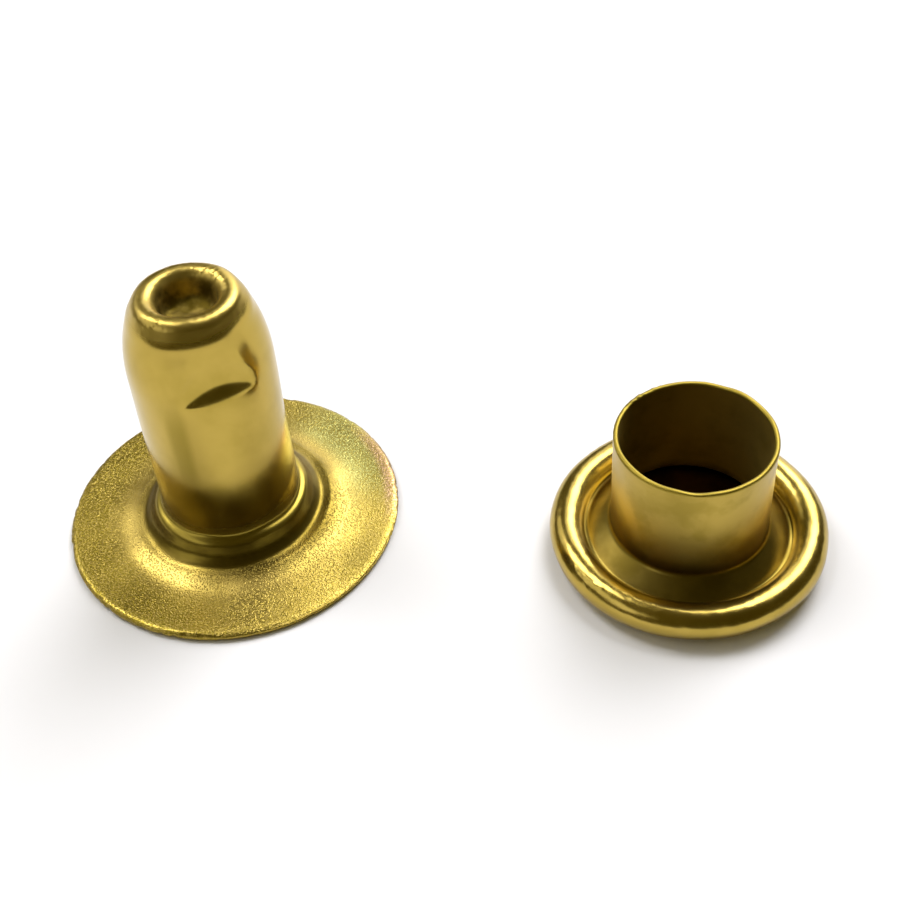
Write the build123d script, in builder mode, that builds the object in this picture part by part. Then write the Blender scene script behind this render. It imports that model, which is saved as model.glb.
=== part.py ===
from build123d import *
from math import acos, asin, cos, degrees, radians, sin
import os

# A two-part tubular rivet, laid out as a pair on the bench. The stud is one drawn brass
# sheet: a flange that flares up into a foot, and a hollow post with a dimpled tip. The cap is two
# pieces: a flanged tube, and a domed shell whose rim is curled over the tube's flange.
# Origin at the middle of the pair's footprint, +X from stud to cap, +Z up. Millimetres.

AXIS_DISTANCE = 13.65
STUD_SHEET = 0.25
TUBE_SHEET = 0.15
SHELL_SHEET = 0.20

# Stud
FLANGE_RADIUS = 5.00
FLANGE_EDGE_ROUND = 0.08
FLARE_START = (3.30, STUD_SHEET)
FLARE_MIDDLE = (2.75, 0.40)
FLARE_END = (2.45, 0.66)
FOOT_TOP_RADIUS = 2.27
FOOT_TOP_HEIGHT = 1.03
NECK_HEIGHT = 1.12
FOOT_FILLETS = (2.50, 0.80, 0.50, 0.26, 0.15)
POST_RADIUS = 2.05
POST_DOME_RADIUS = 4.60
TIP_HEIGHT = 8.52
TIP_ROLL_RADIUS = 0.36
TIP_RING_RADIUS = 1.18
DIMPLE_DEPTH = 0.85
DIMPLE_SLOPE = 12.0
DIMPLE_CORNER = 0.35

# Cap
CAP_RADIUS = 4.00
CURL_RADIUS = 0.51
FACE_DOME_RADIUS = 55.0
MOUTH_HEIGHT = 4.30
BORE_RADIUS = 2.10
TUBE_FLARE_HEIGHT = 1.05
TUBE_FLARE_RADIUS = 2.90
TUBE_FLARE_FILLET = 0.20
SEAT_CLEARANCE = 0.01

# The pair's footprint is centred on the origin, so the wider stud stands a little nearer.
stud_x = (FLANGE_RADIUS - CAP_RADIUS - AXIS_DISTANCE) / 2
cap_x = stud_x + AXIS_DISTANCE
stud_plane = Plane.XZ.shift_origin((stud_x, 0, 0))
cap_plane = Plane.XZ.shift_origin((cap_x, 0, 0))
stud_axis = Axis((stud_x, 0, 0), (0, 0, 1))
cap_axis = Axis((cap_x, 0, 0), (0, 0, 1))

# The post is straight up to the height where its dome starts, and the dome's arc runs
# into the rolled ring round the dimple with no corner.
dome_reach = POST_DOME_RADIUS - TIP_ROLL_RADIUS
dome_turn = degrees(acos((TIP_RING_RADIUS - POST_RADIUS + POST_DOME_RADIUS) / dome_reach))
dome_start = TIP_HEIGHT - TIP_ROLL_RADIUS - dome_reach * sin(radians(dome_turn))
roll_turn = 180 - dome_turn - DIMPLE_SLOPE
dimple_floor = TIP_HEIGHT - DIMPLE_DEPTH

# The face's shallow dome runs into the curl, which turns until its cut edge points down.
face_turn = degrees(asin((CAP_RADIUS - CURL_RADIUS) / (FACE_DOME_RADIUS - CURL_RADIUS)))
curl_height = FACE_DOME_RADIUS - (FACE_DOME_RADIUS - CURL_RADIUS) * cos(radians(face_turn))
curl_turn = 270 - face_turn

# The tube's flange lies under the curl's cut edge, and its rim just fits inside the curl.
curl_inside = CURL_RADIUS - SHELL_SHEET
seat_reach = (curl_inside**2 - TUBE_SHEET**2) ** 0.5
seat_radius = CAP_RADIUS - CURL_RADIUS + seat_reach - SEAT_CLEARANCE
tube_radius = BORE_RADIUS + TUBE_SHEET

os.makedirs("parts", exist_ok=True)

# Stud: the outer skin from the flange's rim to the middle of the dimple, one sheet thick.
with BuildPart() as stud:
    with BuildSketch(stud_plane):
        with BuildLine():
            FilletPolyline(
                (FLANGE_RADIUS, STUD_SHEET),
                FLARE_START,
                FLARE_MIDDLE,
                FLARE_END,
                (FOOT_TOP_RADIUS, FOOT_TOP_HEIGHT),
                (POST_RADIUS, NECK_HEIGHT),
                (POST_RADIUS, dome_start),
                radius=FOOT_FILLETS,
            )
            dome = JernArc((POST_RADIUS, dome_start), (0, 1), POST_DOME_RADIUS, dome_turn)
            roll = JernArc(dome @ 1, dome % 1, TIP_ROLL_RADIUS, roll_turn)
            wall_drop = (roll @ 1).Y - dimple_floor
            wall_end = (roll @ 1) + (roll % 1) * wall_drop / abs((roll % 1).Y)
            FilletPolyline(roll @ 1, wall_end, (0, dimple_floor), radius=(DIMPLE_CORNER,))
            offset(amount=STUD_SHEET, side=Side.LEFT)
        make_face()
    revolve(axis=stud_axis)
    rim_edges = stud.edges().filter_by(GeomType.CIRCLE).group_by(SortBy.RADIUS)[-1]
    fillet(rim_edges, FLANGE_EDGE_ROUND)
stud.part.label = "stud"
export_step(stud.part, "parts/stud.step")

# Tube of the cap, open at both ends. Its foot flares out to the flange that the shell grips.
with BuildPart() as cap_tube:
    with BuildSketch(cap_plane):
        with BuildLine():
            FilletPolyline(
                (tube_radius, MOUTH_HEIGHT),
                (tube_radius, TUBE_FLARE_HEIGHT),
                (TUBE_FLARE_RADIUS, curl_height),
                (seat_radius, curl_height),
                radius=(TUBE_FLARE_FILLET, TUBE_FLARE_FILLET),
            )
            offset(amount=TUBE_SHEET, side=Side.RIGHT)
        make_face()
    revolve(axis=cap_axis)
cap_tube.part.label = "cap_tube"
export_step(cap_tube.part, "parts/cap_tube.step")

# Shell of the cap: the closed face, domed a little, and the rim curled over the flange.
with BuildPart() as cap_shell:
    with BuildSketch(cap_plane):
        with BuildLine():
            face = JernArc((0, 0), (1, 0), FACE_DOME_RADIUS, face_turn)
            JernArc(face @ 1, face % 1, CURL_RADIUS, curl_turn)
            offset(amount=SHELL_SHEET, side=Side.LEFT)
        make_face()
    revolve(axis=cap_axis)
cap_shell.part.label = "cap_shell"
export_step(cap_shell.part, "parts/cap_shell.step")
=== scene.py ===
import math

import bpy
import numpy as np
from mathutils import Matrix, Vector


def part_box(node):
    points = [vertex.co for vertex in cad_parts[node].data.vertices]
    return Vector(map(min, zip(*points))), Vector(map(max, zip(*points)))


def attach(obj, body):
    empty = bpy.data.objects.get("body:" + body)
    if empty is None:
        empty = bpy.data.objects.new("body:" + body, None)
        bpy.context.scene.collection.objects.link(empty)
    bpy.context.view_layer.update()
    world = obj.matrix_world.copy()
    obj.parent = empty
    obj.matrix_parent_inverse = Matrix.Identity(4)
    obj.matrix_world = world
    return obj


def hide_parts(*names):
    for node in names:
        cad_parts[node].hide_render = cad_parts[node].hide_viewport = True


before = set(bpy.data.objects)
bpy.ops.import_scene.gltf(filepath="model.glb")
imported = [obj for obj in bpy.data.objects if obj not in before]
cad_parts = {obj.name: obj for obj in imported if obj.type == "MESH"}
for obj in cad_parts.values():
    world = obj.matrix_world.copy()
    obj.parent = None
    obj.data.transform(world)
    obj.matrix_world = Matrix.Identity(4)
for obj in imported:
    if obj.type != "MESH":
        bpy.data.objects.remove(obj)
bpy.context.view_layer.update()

# Each piece is turned from the section of its sheet, a run of (distance from the axis, height).
# Its size comes from its node's box. Lengths are in millimetres, unless a line says metres.
MM = 0.001
# Points on a section's rounded parts are about this far apart.
SPACING = 0.05

# Stud
STUD_SHEET = 0.25
FLARE = [(3.30, STUD_SHEET), (2.75, 0.40), (2.45, 0.66), (2.27, 1.03)]
NECK_HEIGHT = 1.12
FOOT_FILLETS = [2.50, 0.80, 0.50, 0.26, 0.15]
SKIRT_TOP = 1.60
POST_RADIUS = 2.05
POST_DOME_RADIUS = 4.60
TIP_ROLL_RADIUS = 0.36
TIP_RING_RADIUS = 1.18
DIMPLE_DEPTH = 0.85
DIMPLE_SLOPE = 12
DIMPLE_CORNER = 0.35

# Cap
TUBE_SHEET = 0.15
TUBE_RADIUS = 2.25
TUBE_FLARE_HEIGHT = 1.05
TUBE_FLARE_RADIUS = 2.90
TUBE_FLARE_FILLET = 0.20
SHELL_SHEET = 0.20
CURL_RADIUS = 0.51
FACE_DOME_RADIUS = 55.0


# ---------------------------------------------------------------- outlines

def arc(centre, radius, start, end, steps):
    """Points on a circle from one angle to another, in degrees, both ends included."""
    turn = np.radians(np.linspace(start, end, steps + 1))
    return np.column_stack([centre[0] + radius * np.cos(turn), centre[1] + radius * np.sin(turn)])


def line(start, end, steps):
    share = np.linspace(0, 1, steps + 1)[:, None]
    return np.array(start) * (1 - share) + np.array(end) * share


def paced_line(start, end):
    """A straight line with its points about SPACING apart."""
    return line(start, end, max(1, round(np.linalg.norm(end - start) / SPACING)))


def rounded(corners, radii):
    """A run of straight lines with its inner corners rounded."""
    corners = [np.array(c, float) for c in corners]
    pieces, last = [], corners[0]
    for before, corner, after, radius in zip(corners, corners[1:], corners[2:], radii):
        way_in = (corner - before) / np.linalg.norm(corner - before)
        way_out = (after - corner) / np.linalg.norm(after - corner)
        turn = math.acos(np.clip(way_in @ way_out, -1, 1))
        side = math.copysign(1, way_in[0] * way_out[1] - way_in[1] * way_out[0])
        reach = radius * math.tan(turn / 2)
        begin = corner - way_in * reach
        centre = begin + radius * side * np.array([-way_in[1], way_in[0]])
        angle = math.degrees(math.atan2(*(begin - centre)[::-1]))
        pieces.append(paced_line(last, begin))
        steps = max(5, round(turn * radius / SPACING))
        pieces.append(arc(centre, radius, angle, angle + side * math.degrees(turn), steps))
        last = pieces[-1][-1]
    return joined(*pieces, paced_line(last, corners[-1]))


def joined(*pieces):
    """Several runs of points as one, without the points that two runs share."""
    points = np.concatenate(pieces)
    keep = np.r_[True, np.linalg.norm(np.diff(points, axis=0), axis=1) > 1e-6]
    return points[keep]


def left_of(path):
    """The unit normal on the left of a path at each of its points."""
    ahead = np.gradient(path, axis=0)
    ahead /= np.linalg.norm(ahead, axis=1)[:, None]
    return np.column_stack([-ahead[:, 1], ahead[:, 0]])


def rounded_edge(outer, inner, bulge, steps=6):
    """Points round a sheet's cut edge, from its outer to its inner side, standing out by bulge."""
    middle, half = (outer + inner) / 2, (outer - inner) / 2
    out = np.array([half[1], -half[0]]) / np.linalg.norm(half) * bulge
    turn = np.linspace(0, math.pi, steps + 2)[1:-1]
    return middle + np.outer(np.cos(turn), half) + np.outer(np.sin(turn), out)


# ---------------------------------------------------------------- meshes

def ripples(points, wavelength, seed, waves=28):
    """A smooth random field of about unit size, made of plane waves at random angles."""
    draw = np.random.default_rng(seed)
    ways = draw.normal(size=(waves, 3))
    ways /= np.linalg.norm(ways, axis=1)[:, None]
    ways *= 2 * math.pi / (wavelength * draw.uniform(0.8, 1.25, size=(waves, 1)))
    starts = draw.uniform(0, 2 * math.pi, size=waves)
    field = np.zeros(points.shape[:-1])
    for way, start in zip(ways, starts):
        field += np.sin(points @ way + start)
    return field * math.sqrt(2 / waves)


def bump(value, middle, width):
    """A smooth hill: one at the middle, and about half as high a width away from it."""
    return np.exp(-0.7 * ((value - middle) / width) ** 2)


def smooth_step(value, low, high):
    share = np.clip((value - low) / (high - low), 0, 1)
    return share * share * (3 - 2 * share)


def revolve(name, section, axis_x, segments, closed, wear):
    """A mesh turned from a section round the vertical line at axis_x, a distance in metres.

    A closed section is a ring that stays clear of the axis. An open one starts and ends on it.
    wear moves the points, given where they are and which way they face."""
    facing = left_of(section)
    rings, facing = (section, facing) if closed else (section[1:-1], facing[1:-1])
    turn = np.linspace(0, 2 * math.pi, segments, endpoint=False)
    spokes = np.column_stack([np.cos(turn), np.sin(turn)])

    def spun(flat):
        return np.concatenate([
            flat[:, None, :1] * spokes[None],
            np.broadcast_to(flat[:, None, 1:], (len(flat), segments, 1))], axis=-1)

    points = spun(rings)
    points = (points + wear(points, spun(facing))).reshape(-1, 3)
    here = np.arange(segments)
    after = (here + 1) % segments
    faces = []
    for ring in range(len(rings) if closed else len(rings) - 1):
        near, far = ring * segments, (ring + 1) % len(rings) * segments
        faces += np.column_stack([near + here, far + here, far + after, near + after]).tolist()
    if not closed:
        first, last, end = len(points), len(points) + 1, (len(rings) - 1) * segments
        middles = [[0, 0, points[:segments, 2].mean()], [0, 0, points[end:, 2].mean()]]
        points = np.concatenate([points, middles])
        faces += [(first, i, j) for i, j in zip(here.tolist(), after.tolist())]
        faces += [(last, end + j, end + i) for i, j in zip(here.tolist(), after.tolist())]
    mesh = bpy.data.meshes.new(name)
    mesh.from_pydata((points * MM + [axis_x, 0, 0]).tolist(), [], faces)
    mesh.shade_smooth()
    piece = bpy.data.objects.new(name, mesh)
    bpy.context.scene.collection.objects.link(piece)
    return piece


# ---------------------------------------------------------------- sections

def stud_section(rim, tip):
    """The stud's sheet: the outer side from the dimple to the rim, then the inner side back."""
    edge = 0.10
    reach = POST_DOME_RADIUS - TIP_ROLL_RADIUS
    turn = math.degrees(math.acos((TIP_RING_RADIUS - POST_RADIUS + POST_DOME_RADIUS) / reach))
    dome_start = tip - TIP_ROLL_RADIUS - reach * math.sin(math.radians(turn))
    neck, skirt_end = (POST_RADIUS, NECK_HEIGHT), (POST_RADIUS, SKIRT_TOP)
    skirt = rounded([(rim - edge, STUD_SHEET), *FLARE, neck, skirt_end], FOOT_FILLETS)
    tube = line(skirt_end, (POST_RADIUS, dome_start), 24)
    top = arc((POST_RADIUS - POST_DOME_RADIUS, dome_start), POST_DOME_RADIUS, 0, turn, 40)
    lip = arc((TIP_RING_RADIUS, tip - TIP_ROLL_RADIUS), TIP_ROLL_RADIUS, turn, 180 - DIMPLE_SLOPE, 24)
    floor = tip - DIMPLE_DEPTH
    foot = (lip[-1][0] - (lip[-1][1] - floor) * math.tan(math.radians(DIMPLE_SLOPE)), floor)
    bowl = rounded([lip[-1], foot, (0, floor)], [DIMPLE_CORNER])
    outer = joined(skirt, tube, top, lip, bowl)
    inner = outer + left_of(outer) * STUD_SHEET
    inner[-1, 0] = 0
    # The hidden side needs fewer rings.
    inner = np.concatenate([inner[:-1:3], inner[-1:]])
    return np.concatenate([outer[::-1], rounded_edge(outer[0], inner[0], edge), inner])


def tube_section(rim, mouth, seat):
    """The tube's sheet, a closed ring: down the outside, out along the flange, and back up the bore."""
    edge = 0.05
    outer = rounded(
        [(TUBE_RADIUS, mouth - edge), (TUBE_RADIUS, TUBE_FLARE_HEIGHT),
         (TUBE_FLARE_RADIUS, seat), (rim - edge, seat)],
        [TUBE_FLARE_FILLET, TUBE_FLARE_FILLET])
    inner = outer - left_of(outer) * TUBE_SHEET
    flange_edge = rounded_edge(outer[-1], inner[-1], edge)
    mouth_edge = rounded_edge(inner[0], outer[0], edge)
    return np.concatenate([outer, flange_edge, inner[::-1], mouth_edge])


def shell_section(rim, curl_top):
    """The shell's sheet: the inner side from the middle to the curl's cut edge, then the outer side."""
    edge = 0.04
    turn = math.degrees(math.asin((rim - CURL_RADIUS) / (FACE_DOME_RADIUS - CURL_RADIUS)))
    dome = arc((0, FACE_DOME_RADIUS), FACE_DOME_RADIUS, -90, -90 + turn, 60)
    end = math.degrees(edge / CURL_RADIUS)
    roll = arc((rim - CURL_RADIUS, curl_top - CURL_RADIUS), CURL_RADIUS, -90 + turn, 180 - end, 90)
    outer = joined(dome, roll)
    inner = outer + left_of(outer) * SHELL_SHEET
    inner[0, 0] = 0
    return np.concatenate([inner, rounded_edge(inner[-1], outer[-1], edge), outer[::-1]])


# ---------------------------------------------------------------- wear

def polar(points):
    """Distance from the axis, angle in degrees from +X, and height, of points round an axis."""
    return (np.hypot(points[..., 0], points[..., 1]),
            np.degrees(np.arctan2(points[..., 1], points[..., 0])), points[..., 2])


def out_and_up(points):
    """Unit directions at each point: away from the piece's axis, and up."""
    radius = polar(points)[0]
    out = np.stack([points[..., 0] / radius, points[..., 1] / radius, np.zeros_like(radius)], axis=-1)
    up = np.zeros_like(out)
    up[..., 2] = 1
    return out, up


def push(ways, amounts):
    """A move along each direction by its own amount."""
    return ways * amounts[..., None]


def flange_lift(points, facing):
    """How far the flange's upper side stands off a flat one."""
    radius, angle, height = polar(points)
    lift = 0.008 * ripples(points, 1.9, 3) * smooth_step(radius, 2.5, 2.9)
    bell = 0.06 + 0.10 * bump(angle, 0, 45)
    lift = lift + bell * np.clip((4.4 - radius) / 1.4, 0, 1) ** 2 * smooth_step(radius, 2.6, 3.0)
    # It droops at the side next to the cap, and its rim is turned down a little all round.
    lift = lift - 0.12 * bump(angle, -32, 30) * np.clip((radius - 3.3) / 1.7, 0, 1) ** 1.5
    lift = lift - 0.03 * smooth_step(radius, 4.70, 5.05) ** 2
    return lift * (smooth_step(facing[..., 2], 0.3, 0.8) * (height < 0.9))


def rim_nicks(points):
    """How deep the flange's rim is nicked."""
    radius, _, height = polar(points)
    nicks = np.clip(ripples(points, 0.35, 9, 40) - 0.7, 0, 1)
    return 0.035 * (nicks * smooth_step(radius, 4.86, 4.98) * (height < 0.5))


def foot_waves(points):
    """How unevenly the foot's ledge runs round the post."""
    radius, _, height = polar(points)
    return 0.03 * ripples(points * [1, 1, 0], 1.8, 8) * (bump(height, 1.03, 0.16) * (radius < 2.6))


def post_dent(points):
    """How far the post is pressed in: a short facet that leans in, and a long way back out."""
    _, angle, height = polar(points)
    middle, half_width, lowest, highest, lean = -58, 35, 6.08, 7.95, 0.31
    along = np.clip((angle - middle) / half_width, -1, 1)
    tall = 0.08 + 0.58 * (1 - along ** 2)
    share = (height - lowest - 0.07 * along) / tall
    dent = lean * tall * smooth_step(share, 0, 1) * smooth_step(highest - height, 0, 1.1)
    above = smooth_step(height, 6.5, 7.6)
    dent = dent * smooth_step(1 - (along * (1 + 0.5 * above)) ** 2, 0, 0.5 + 0.5 * above)
    post = smooth_step(height, 1.2, 1.6)
    return dent * post + 0.008 * ripples(points, 3.2, 5) * post


def dome_swell(points, facing):
    """How far the dome swells under the rolled tip."""
    radius, _, height = polar(points)
    swell = 0.026 + 0.010 * ripples(points * [1, 1, 0], 1.6, 16)
    return swell * bump(height, 8.0, 0.16) * (facing[..., 2] > -0.5) * (radius > 1.2)


def tip_share(points):
    """One on the rolled tip and zero below it."""
    return smooth_step(points[..., 2], 7.9, 8.2)


def tip_waves(points):
    waves = 0.012 * ripples(points, 1.3, 6) + 0.0012 * ripples(points, 0.22, 14, 40)
    return waves * tip_share(points)


def dimple_lumps(points, facing):
    radius, _, height = polar(points)
    floor = smooth_step(0.9 - radius, 0, 0.3) * (facing[..., 2] > 0.3) * (height > 7.4)
    return 0.022 * ripples(points, 0.5, 7) * floor


def tip_grit(points):
    """Two rough patches on the tip: one at the front, and one inside its ring at the back."""
    radius, angle, _ = polar(points)
    front = bump(angle, -112, 10) * bump(radius, 1.42, 0.12)
    back = bump(angle, 62, 28) * bump(radius, 1.05, 0.12)
    grains = np.clip(ripples(points, 0.13, 15, 50) - 0.3, 0, 2)
    return 0.010 * ((front + back) * tip_share(points) * grains)


def stud_wear(points, facing):
    """The marks of drawing, rolling and tumbling on the stud."""
    out, up = out_and_up(points)
    return (
        push(up, flange_lift(points, facing))
        - push(out, rim_nicks(points))
        + push(up, foot_waves(points))
        - push(out, post_dent(points))
        + push(out, dome_swell(points, facing))
        + push(up, tip_waves(points))
        + push(up, dimple_lumps(points, facing))
        + push(facing, tip_grit(points)))


def tube_wear(points, facing):
    """Slight waves in the tube's wall, and burrs on its mouth."""
    _, angle, height = polar(points)
    out, up = out_and_up(points)
    wall = smooth_step(height, 1.0, 2.0)
    mouth = smooth_step(height, 4.1, 4.28)
    burr = bump(angle, 140, 14) * np.clip(ripples(points, 0.16, 12, 50), 0, 2)
    return (
        push(out, 0.012 * ripples(points, 3.0, 11) * wall)
        + push(up, mouth * (0.010 * ripples(points, 0.9, 13) + 0.02 * burr)))


def shell_wear(points, facing):
    """Dings all round the curl, and a patch of specks on it."""
    radius, angle, height = polar(points)
    curl = smooth_step(radius, 2.9, 3.2) * smooth_step(height, 0.15, 0.4)
    dings = 0.006 * ripples(points, 1.7, 21) + 0.0012 * ripples(points, 0.3, 22)
    patch = bump(angle, -134, 11) * bump(radius, 3.78, 0.12)
    specks = patch * np.clip(ripples(points, 0.14, 23, 50) - 0.8, 0, 2)
    return push(facing, (dings + 0.015 * specks) * curl)


# ---------------------------------------------------------------- pieces

def measures(node):
    """Where a round node's axis stands, in metres, and its radius and height, in millimetres."""
    low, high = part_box(node)
    return (low.x + high.x) / 2, (high.x - low.x) / 2 / MM, high.z / MM


def add_pieces():
    stud_x, rim, tip = measures("stud")
    outline = stud_section(rim, tip)
    stud = revolve("stud_drawn", outline, stud_x, segments=360, closed=False, wear=stud_wear)
    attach(stud, "stud")
    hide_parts("stud")
    cap_x, seat_rim, mouth = measures("cap_tube")
    rim, curl_top = measures("cap_shell")[1:]
    outline = tube_section(seat_rim, mouth, curl_top - CURL_RADIUS)
    tube = revolve("tube_drawn", outline, cap_x, segments=300, closed=True, wear=tube_wear)
    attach(tube, "cap")
    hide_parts("cap_tube")
    outline = shell_section(rim, curl_top)
    shell = revolve("shell_curled", outline, cap_x, segments=360, closed=False, wear=shell_wear)
    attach(shell, "cap")
    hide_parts("cap_shell")
    stud.data.materials.append(brass("stud_brass", stud_x, roughness=0.19, marks=stud_marks))
    tube.data.materials.append(brass("tube_brass", cap_x, roughness=0.32, marks=tube_marks))
    shell.data.materials.append(brass("shell_brass", cap_x, roughness=0.23))


# ---------------------------------------------------------------- materials

BRASS = (0.47, 0.34, 0.07)
# The duller colour is for random patches and painted shade; the darker one is for painted shade alone.
DULL_AND_SHADED_BRASS = (0.27, 0.200, 0.022)
PAINTED_SHADE_BRASS = (0.12, 0.082, 0.008)
GREEN_BRASS = (0.41, 0.385, 0.11)
PINK_BRASS = (0.50, 0.31, 0.16)
GRAIN_DEPTH = 0.014
SMOOTH_GRAIN = 0.02


class Nodes:
    """Short calls for building a node tree."""

    def __init__(self, tree):
        self.tree = tree
        tree.nodes.clear()

    def add(self, kind, inputs=(), **settings):
        node = self.tree.nodes.new(kind)
        for key, value in settings.items():
            setattr(node, key, value)
        for key, value in dict(inputs).items():
            if isinstance(value, bpy.types.NodeSocket):
                self.tree.links.new(value, node.inputs[key])
            else:
                node.inputs[key].default_value = value
        return node

    def math(self, operation, *values):
        return self.add("ShaderNodeMath", enumerate(values), operation=operation).outputs[0]

    def vector(self, operation, output, *values):
        node = self.add("ShaderNodeVectorMath", enumerate(values), operation=operation)
        return node.outputs[output]

    def sum(self, first, second):
        return self.math("ADD", first, second)

    def product(self, first, *others):
        for other in others:
            first = self.math("MULTIPLY", first, other)
        return first

    def most(self, first, *others):
        for other in others:
            first = self.math("MAXIMUM", first, other)
        return first

    def ramp(self, value, low, high, start=0.0, end=1.0):
        """Goes smoothly from start, where the value is at low, to end, where it is at high."""
        node = self.add("ShaderNodeMapRange", {0: value, 1: low, 2: high, 3: start, 4: end})
        node.interpolation_type = "SMOOTHSTEP"
        return node.outputs[0]

    def window(self, value, middle, half):
        """One in the middle of a range, and zero more than half its width away."""
        offset = self.math("ABSOLUTE", self.math("SUBTRACT", value, middle))
        return self.ramp(offset, half, half * 0.3)

    def blend(self, share, first, second):
        node = self.add("ShaderNodeMix", data_type="RGBA")
        for key, value in ((0, share), (6, first), (7, second)):
            if isinstance(value, bpy.types.NodeSocket):
                self.tree.links.new(value, node.inputs[key])
            else:
                node.inputs[key].default_value = value if key == 0 else (*value, 1)
        return node.outputs[2]

    def noise(self, where, scale, detail=2.0, rough=0.5):
        node = self.add("ShaderNodeTexNoise", {
            "Vector": where, "Scale": scale, "Detail": detail, "Roughness": rough})
        return node.outputs["Fac"]

    def place(self, axis_x):
        """Where a point is round the piece's axis, in metres and radians."""
        where = self.add("ShaderNodeTexCoord").outputs["Object"]
        point = self.vector("ADD", "Vector", where, (-axis_x, 0, 0))
        flat = self.vector("MULTIPLY", "Vector", point, (1, 1, 0))
        xyz = self.add("ShaderNodeSeparateXYZ", {0: point}).outputs
        return {
            "point": point,
            "x": xyz["X"],
            "height": xyz["Z"],
            "radius": self.vector("LENGTH", "Value", flat),
            "angle": self.math("ARCTAN2", xyz["Y"], xyz["X"]),
        }


def stud_grain(n, at, flange):
    """How deep the grain is, and how tarnished it is in flecks, with painted shade that deepens towards
    the flange's rim and left side. The flange's grain is uneven.
    """
    patches = n.ramp(n.noise(at["point"], 500, 2), 0.3, 0.7, 0.4, 0.8)
    grain = n.sum(SMOOTH_GRAIN, n.product(flange, patches))
    flecks = n.ramp(n.noise(at["point"], 16000, 1), 0.60, 0.40)
    # Painted shade: the tarnish deepens towards the flange's rim and its left side.
    outer = n.ramp(at["radius"], 3.0 * MM, 4.2 * MM)
    left = n.ramp(at["x"], 2.0 * MM, -3.0 * MM, 0.6, 1.0)
    return grain, n.product(flange, n.product(outer, left, n.sum(flecks, 0.25)))


def stud_film(n, at, flange):
    """A thin film tints the flange green at the side next to the cap, and pink at the rim there."""
    green = n.product(n.window(at["angle"], 0.75, 0.75), n.ramp(at["radius"], 3.2 * MM, 3.9 * MM))
    pink = n.product(n.window(at["angle"], 0.45, 0.55), n.ramp(at["radius"], 4.45 * MM, 4.75 * MM))
    film = n.blend(n.product(flange, green), BRASS, GREEN_BRASS)
    return n.blend(n.product(flange, pink), film, PINK_BRASS)


def stud_marks(n, at, cloud, finish):
    """The stud is grained on its flange, has painted shade at its foot and in its dimple, and a painted
    reflection that darkens a streak.
    """
    radius, height = at["radius"], at["height"]
    flange = n.product(n.ramp(radius, 2.55 * MM, 2.9 * MM), n.ramp(height, 0.6 * MM, 0.4 * MM))
    foot = n.ramp(height, 1.7 * MM, 1.3 * MM)
    tip = n.ramp(height, 8.0 * MM, 8.2 * MM)
    dimple = n.product(n.ramp(radius, 0.98 * MM, 0.80 * MM), n.ramp(height, 7.4 * MM, 7.6 * MM))
    rough = n.sum(finish["rough"], n.product(n.sum(foot, tip), 0.12))
    grain, tarnish_and_shade = stud_grain(n, at, flange)
    # A painted reflection darkens a streak up the front of the post.
    streak = n.product(n.window(at["angle"], -1.70, 0.22), n.window(height, 4.6 * MM, 1.9 * MM))
    # Painted shade darkens the post's lower end and the foot, for the flange they mirror.
    uneven = n.math("MULTIPLY_ADD", cloud, 1.6 * MM, height)
    lower = n.product(n.ramp(uneven, 4.2 * MM, 3.2 * MM), n.ramp(height, 0.35 * MM, 0.6 * MM))
    dull_and_shade = n.most(finish["dull_and_shade"], tarnish_and_shade, n.product(streak, 0.6), n.product(lower, 0.75))
    # Painted shade makes the dimple and the skirt between flange and foot darker still.
    painted_dimple_shade = n.product(dimple, n.ramp(n.noise(at["point"], 1500, 3), 0.35, 0.65, 0.0, 1.0))
    skirt = n.product(n.ramp(height, 1.02 * MM, 0.92 * MM), n.ramp(height, 0.32 * MM, 0.5 * MM))
    skirt = n.product(skirt, n.ramp(cloud, 0.35, 0.65, 0.5, 0.9))
    return {
        "rough": n.sum(rough, n.product(dimple, 0.35)),
        "grain": grain,
        "film": stud_film(n, at, flange),
        "dull_and_shade": dull_and_shade,
        "painted_shade": n.most(painted_dimple_shade, skirt),
    }


def tube_marks(n, at, cloud, finish):
    """The tube is spotted outside; painted shade dims its lip and darkens its bore and the part down in
    the cap.
    """
    radius, height = at["radius"], at["height"]
    spots = n.ramp(n.noise(at["point"], 1100, 3), 0.45, 0.68, 0, 0.5)
    # Painted shade: the bore, the lip and the trough down in the cap are darkened.
    bore = n.product(n.ramp(radius, 2.18 * MM, 2.13 * MM), n.ramp(height, 4.28 * MM, 4.2 * MM))
    lip = n.ramp(height, 4.18 * MM, 4.26 * MM)
    trough = n.product(n.ramp(height, 1.6 * MM, 0.9 * MM), n.ramp(cloud, 0.3, 0.7, 0.6, 0.9))
    return {
        "rough": n.sum(n.sum(finish["rough"], n.product(bore, 0.3)), n.product(lip, 0.15)),
        "dull_and_shade": n.most(finish["dull_and_shade"], spots, n.product(lip, 0.85)),
        "painted_shade": n.most(n.product(bore, 0.3), trough),
    }


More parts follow.
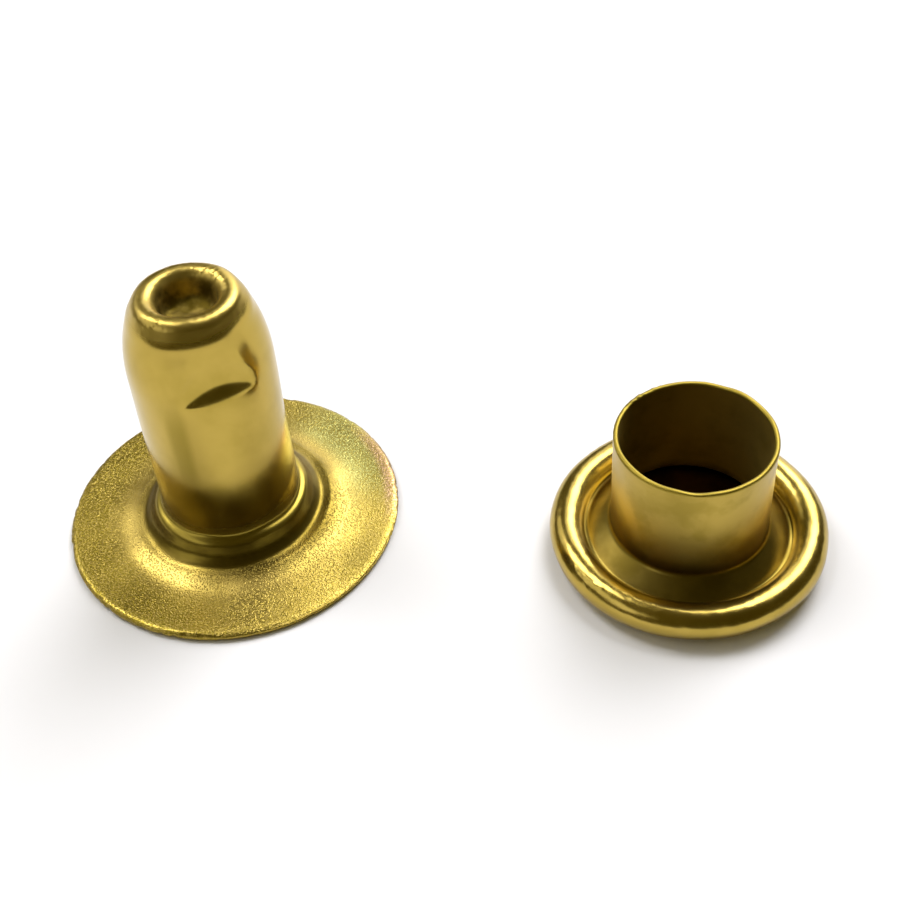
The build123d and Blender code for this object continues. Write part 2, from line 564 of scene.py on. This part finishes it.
def brass(name, axis_x, roughness, marks=None):
    """Drawn brass. marks says what a piece has of its own, by where a point is round its axis."""
    material = bpy.data.materials.new(name)
    material.use_nodes = True
    n = Nodes(material.node_tree)
    at = n.place(axis_x)
    cloud = n.noise(at["point"], 900, 3)
    finish = {
        "rough": n.ramp(cloud, 0.3, 0.7, roughness - 0.03, roughness + 0.03),
        "grain": SMOOTH_GRAIN,
        "film": BRASS,
        "dull_and_shade": n.ramp(n.noise(at["point"], 520, 4, 0.6), 0.42, 0.75, 0, 0.45),
        "painted_shade": 0.0,
    }
    if marks:
        finish.update(marks(n, at, cloud, finish))
    # Random patches, painted shade and painted reflections make the colour duller; painted shade in
    # recesses makes it darker still.
    colour = n.blend(finish["dull_and_shade"], finish["film"], DULL_AND_SHADED_BRASS)
    colour = n.blend(finish["painted_shade"], colour, PAINTED_SHADE_BRASS)
    fine = n.ramp(n.noise(at["point"], 21000, 1), 0.48, 0.74)
    relief = n.add("ShaderNodeBump", {
        "Strength": finish["grain"], "Distance": GRAIN_DEPTH * MM, "Height": fine})
    shader = n.add("ShaderNodeBsdfPrincipled", {
        "Base Color": colour, "Metallic": 1.0,
        "Roughness": finish["rough"], "Normal": relief.outputs[0]})
    n.add("ShaderNodeOutputMaterial", {"Surface": shader.outputs[0]})
    return material


# ---------------------------------------------------------------- studio

# Lengths of the studio are in metres.
LAMP_DISTANCE = 1.5
LAMP_COLOUR = (0.94, 0.955, 1.15)
WORLD_COLOUR = (1.0, 0.82, 0.15, 1)
FLOOR_REACH = 4.0
FLOOR_DROP = 0.00002
PAPER_COLOUR = (0.86, 0.845, 0.74, 1)
WALL_RADIUS = 0.6
WALL_FOOT = 0.01
WALL_HEIGHT = 0.6
WALL_SIDES = 48
WALL_COLOUR = (1, 0.99, 0.97, 1)
WALL_BRIGHTNESS = 0.95


def direction(azimuth, elevation):
    """A unit vector. Azimuth 0 looks to +Y, the back, and 90 to +X."""
    a, e = math.radians(azimuth), math.radians(elevation)
    return Vector((math.sin(a) * math.cos(e), math.cos(a) * math.cos(e), math.sin(e)))


def softbox(name, azimuth, elevation, across, high, brightness):
    """A soft lamp that faces the pair and fills given angles as the pair sees it, in degrees."""
    data = bpy.data.lights.new(name, "AREA")
    data.shape = "RECTANGLE"
    data.size = 2 * LAMP_DISTANCE * math.tan(math.radians(across / 2))
    data.size_y = 2 * LAMP_DISTANCE * math.tan(math.radians(high / 2))
    data.energy = brightness * math.pi * data.size * data.size_y
    data.color = LAMP_COLOUR
    lamp = bpy.data.objects.new(name, data)
    way = direction(azimuth, elevation)
    turned = way.to_track_quat("Z", "Y").to_matrix().to_4x4()
    lamp.matrix_world = Matrix.Translation(way * LAMP_DISTANCE) @ turned
    lamp.visible_camera = False
    bpy.context.scene.collection.objects.link(lamp)
    return lamp


def add_lamps():
    # Azimuth, elevation, width and height in degrees, then brightness.
    softbox("key_softbox", 9, 20, 40, 65, 1.7)
    softbox("key_core", 25, 50, 28, 42, 7.5)
    softbox("side_softbox", -97, 37, 90, 26, 1.15)
    softbox("side_core", -66, 56, 18, 29, 7.5)
    # Lights the paper, so that it stays white without more glare on the brass.
    softbox("paper_light", 0, 85, 70, 70, 0.3).visible_glossy = False


def add_world():
    """A dim yellow room, a little brighter at the left."""
    world = bpy.data.worlds.new("studio")
    bpy.context.scene.world = world
    world.use_nodes = True
    n = Nodes(world.node_tree)
    way = n.add("ShaderNodeTexCoord").outputs["Generated"]
    side = n.vector("DOT_PRODUCT", "Value", way, direction(-90, 20))
    glow = n.ramp(side, -0.2, 1.0, 0.09, 0.14)
    light = n.add("ShaderNodeBackground", {"Color": WORLD_COLOUR, "Strength": glow})
    n.add("ShaderNodeOutputWorld", {"Surface": light.outputs[0]})


def stage_mesh(name, points, faces, material_name, shader_kind, shader_inputs):
    """A plain mesh of the studio in one plain material."""
    mesh = bpy.data.meshes.new(name)
    mesh.from_pydata(points, [], faces)
    thing = bpy.data.objects.new(name, mesh)
    bpy.context.scene.collection.objects.link(thing)
    material = bpy.data.materials.new(material_name)
    material.use_nodes = True
    n = Nodes(material.node_tree)
    shader = n.add(shader_kind, shader_inputs)
    n.add("ShaderNodeOutputMaterial", {"Surface": shader.outputs[0]})
    mesh.materials.append(material)
    return thing


def add_floor():
    corners = [(-1, -1), (1, -1), (1, 1), (-1, 1)]
    points = [(x * FLOOR_REACH, y * FLOOR_REACH, -FLOOR_DROP) for x, y in corners]
    floor = stage_mesh(
        "floor", points, [(0, 1, 2, 3)], "floor_paper", "ShaderNodeBsdfDiffuse", {"Color": PAPER_COLOUR})


def add_backdrop():
    """A pale wall round the pair, for cameras that look along the floor. The brass doesn't mirror it."""
    turn = [2 * math.pi * i / WALL_SIDES for i in range(WALL_SIDES)]
    ring = [(WALL_RADIUS * math.cos(a), WALL_RADIUS * math.sin(a)) for a in turn]
    points = [(x, y, z) for z in (-WALL_FOOT, WALL_HEIGHT) for x, y in ring]
    sides = [(i, (i + 1) % WALL_SIDES) for i in range(WALL_SIDES)]
    faces = [(i, j, j + WALL_SIDES, i + WALL_SIDES) for i, j in sides]
    wall = stage_mesh(
        "backdrop", points, faces, "backdrop_white", "ShaderNodeEmission",
        {"Color": WALL_COLOUR, "Strength": WALL_BRIGHTNESS})
    wall.visible_glossy = wall.visible_diffuse = wall.visible_shadow = False


def add_studio():
    add_world()
    add_lamps()
    add_floor()
    add_backdrop()
    bpy.context.scene.view_settings.view_transform = "Standard"


# ---------------------------------------------------------------- camera

CAMERA_PLACE = np.array([5.74, -27.418, 30.716])
# Degrees: the way it looks, from +Y towards +X, then down, and its roll.
CAMERA_ANGLES = (-10.854, 44.589, -4.414)
CAMERA_LENS = 55.12


def add_camera():
    """Looks down on the pair from the front, at the angle and distance of a hand-held close-up."""
    azimuth, down, roll = map(math.radians, CAMERA_ANGLES)
    ahead = np.array([
        math.sin(azimuth) * math.cos(down), math.cos(azimuth) * math.cos(down), -math.sin(down)])
    level = np.array([math.cos(azimuth), -math.sin(azimuth), 0])
    above = np.cross(level, ahead)
    right = math.cos(roll) * level + math.sin(roll) * above
    above = np.cross(right, ahead)
    data = bpy.data.cameras.new("camera")
    data.sensor_width = 36
    data.lens = CAMERA_LENS
    data.clip_start = 0.001
    data.clip_end = 10
    camera = bpy.data.objects.new("camera", data)
    pose = Matrix.Identity(4)
    for i, row in enumerate(np.column_stack([right, above, -ahead, CAMERA_PLACE * MM])):
        pose[i][:] = row
    camera.matrix_world = pose
    bpy.context.scene.collection.objects.link(camera)
    bpy.context.scene.camera = camera


add_camera()
add_pieces()
add_studio()
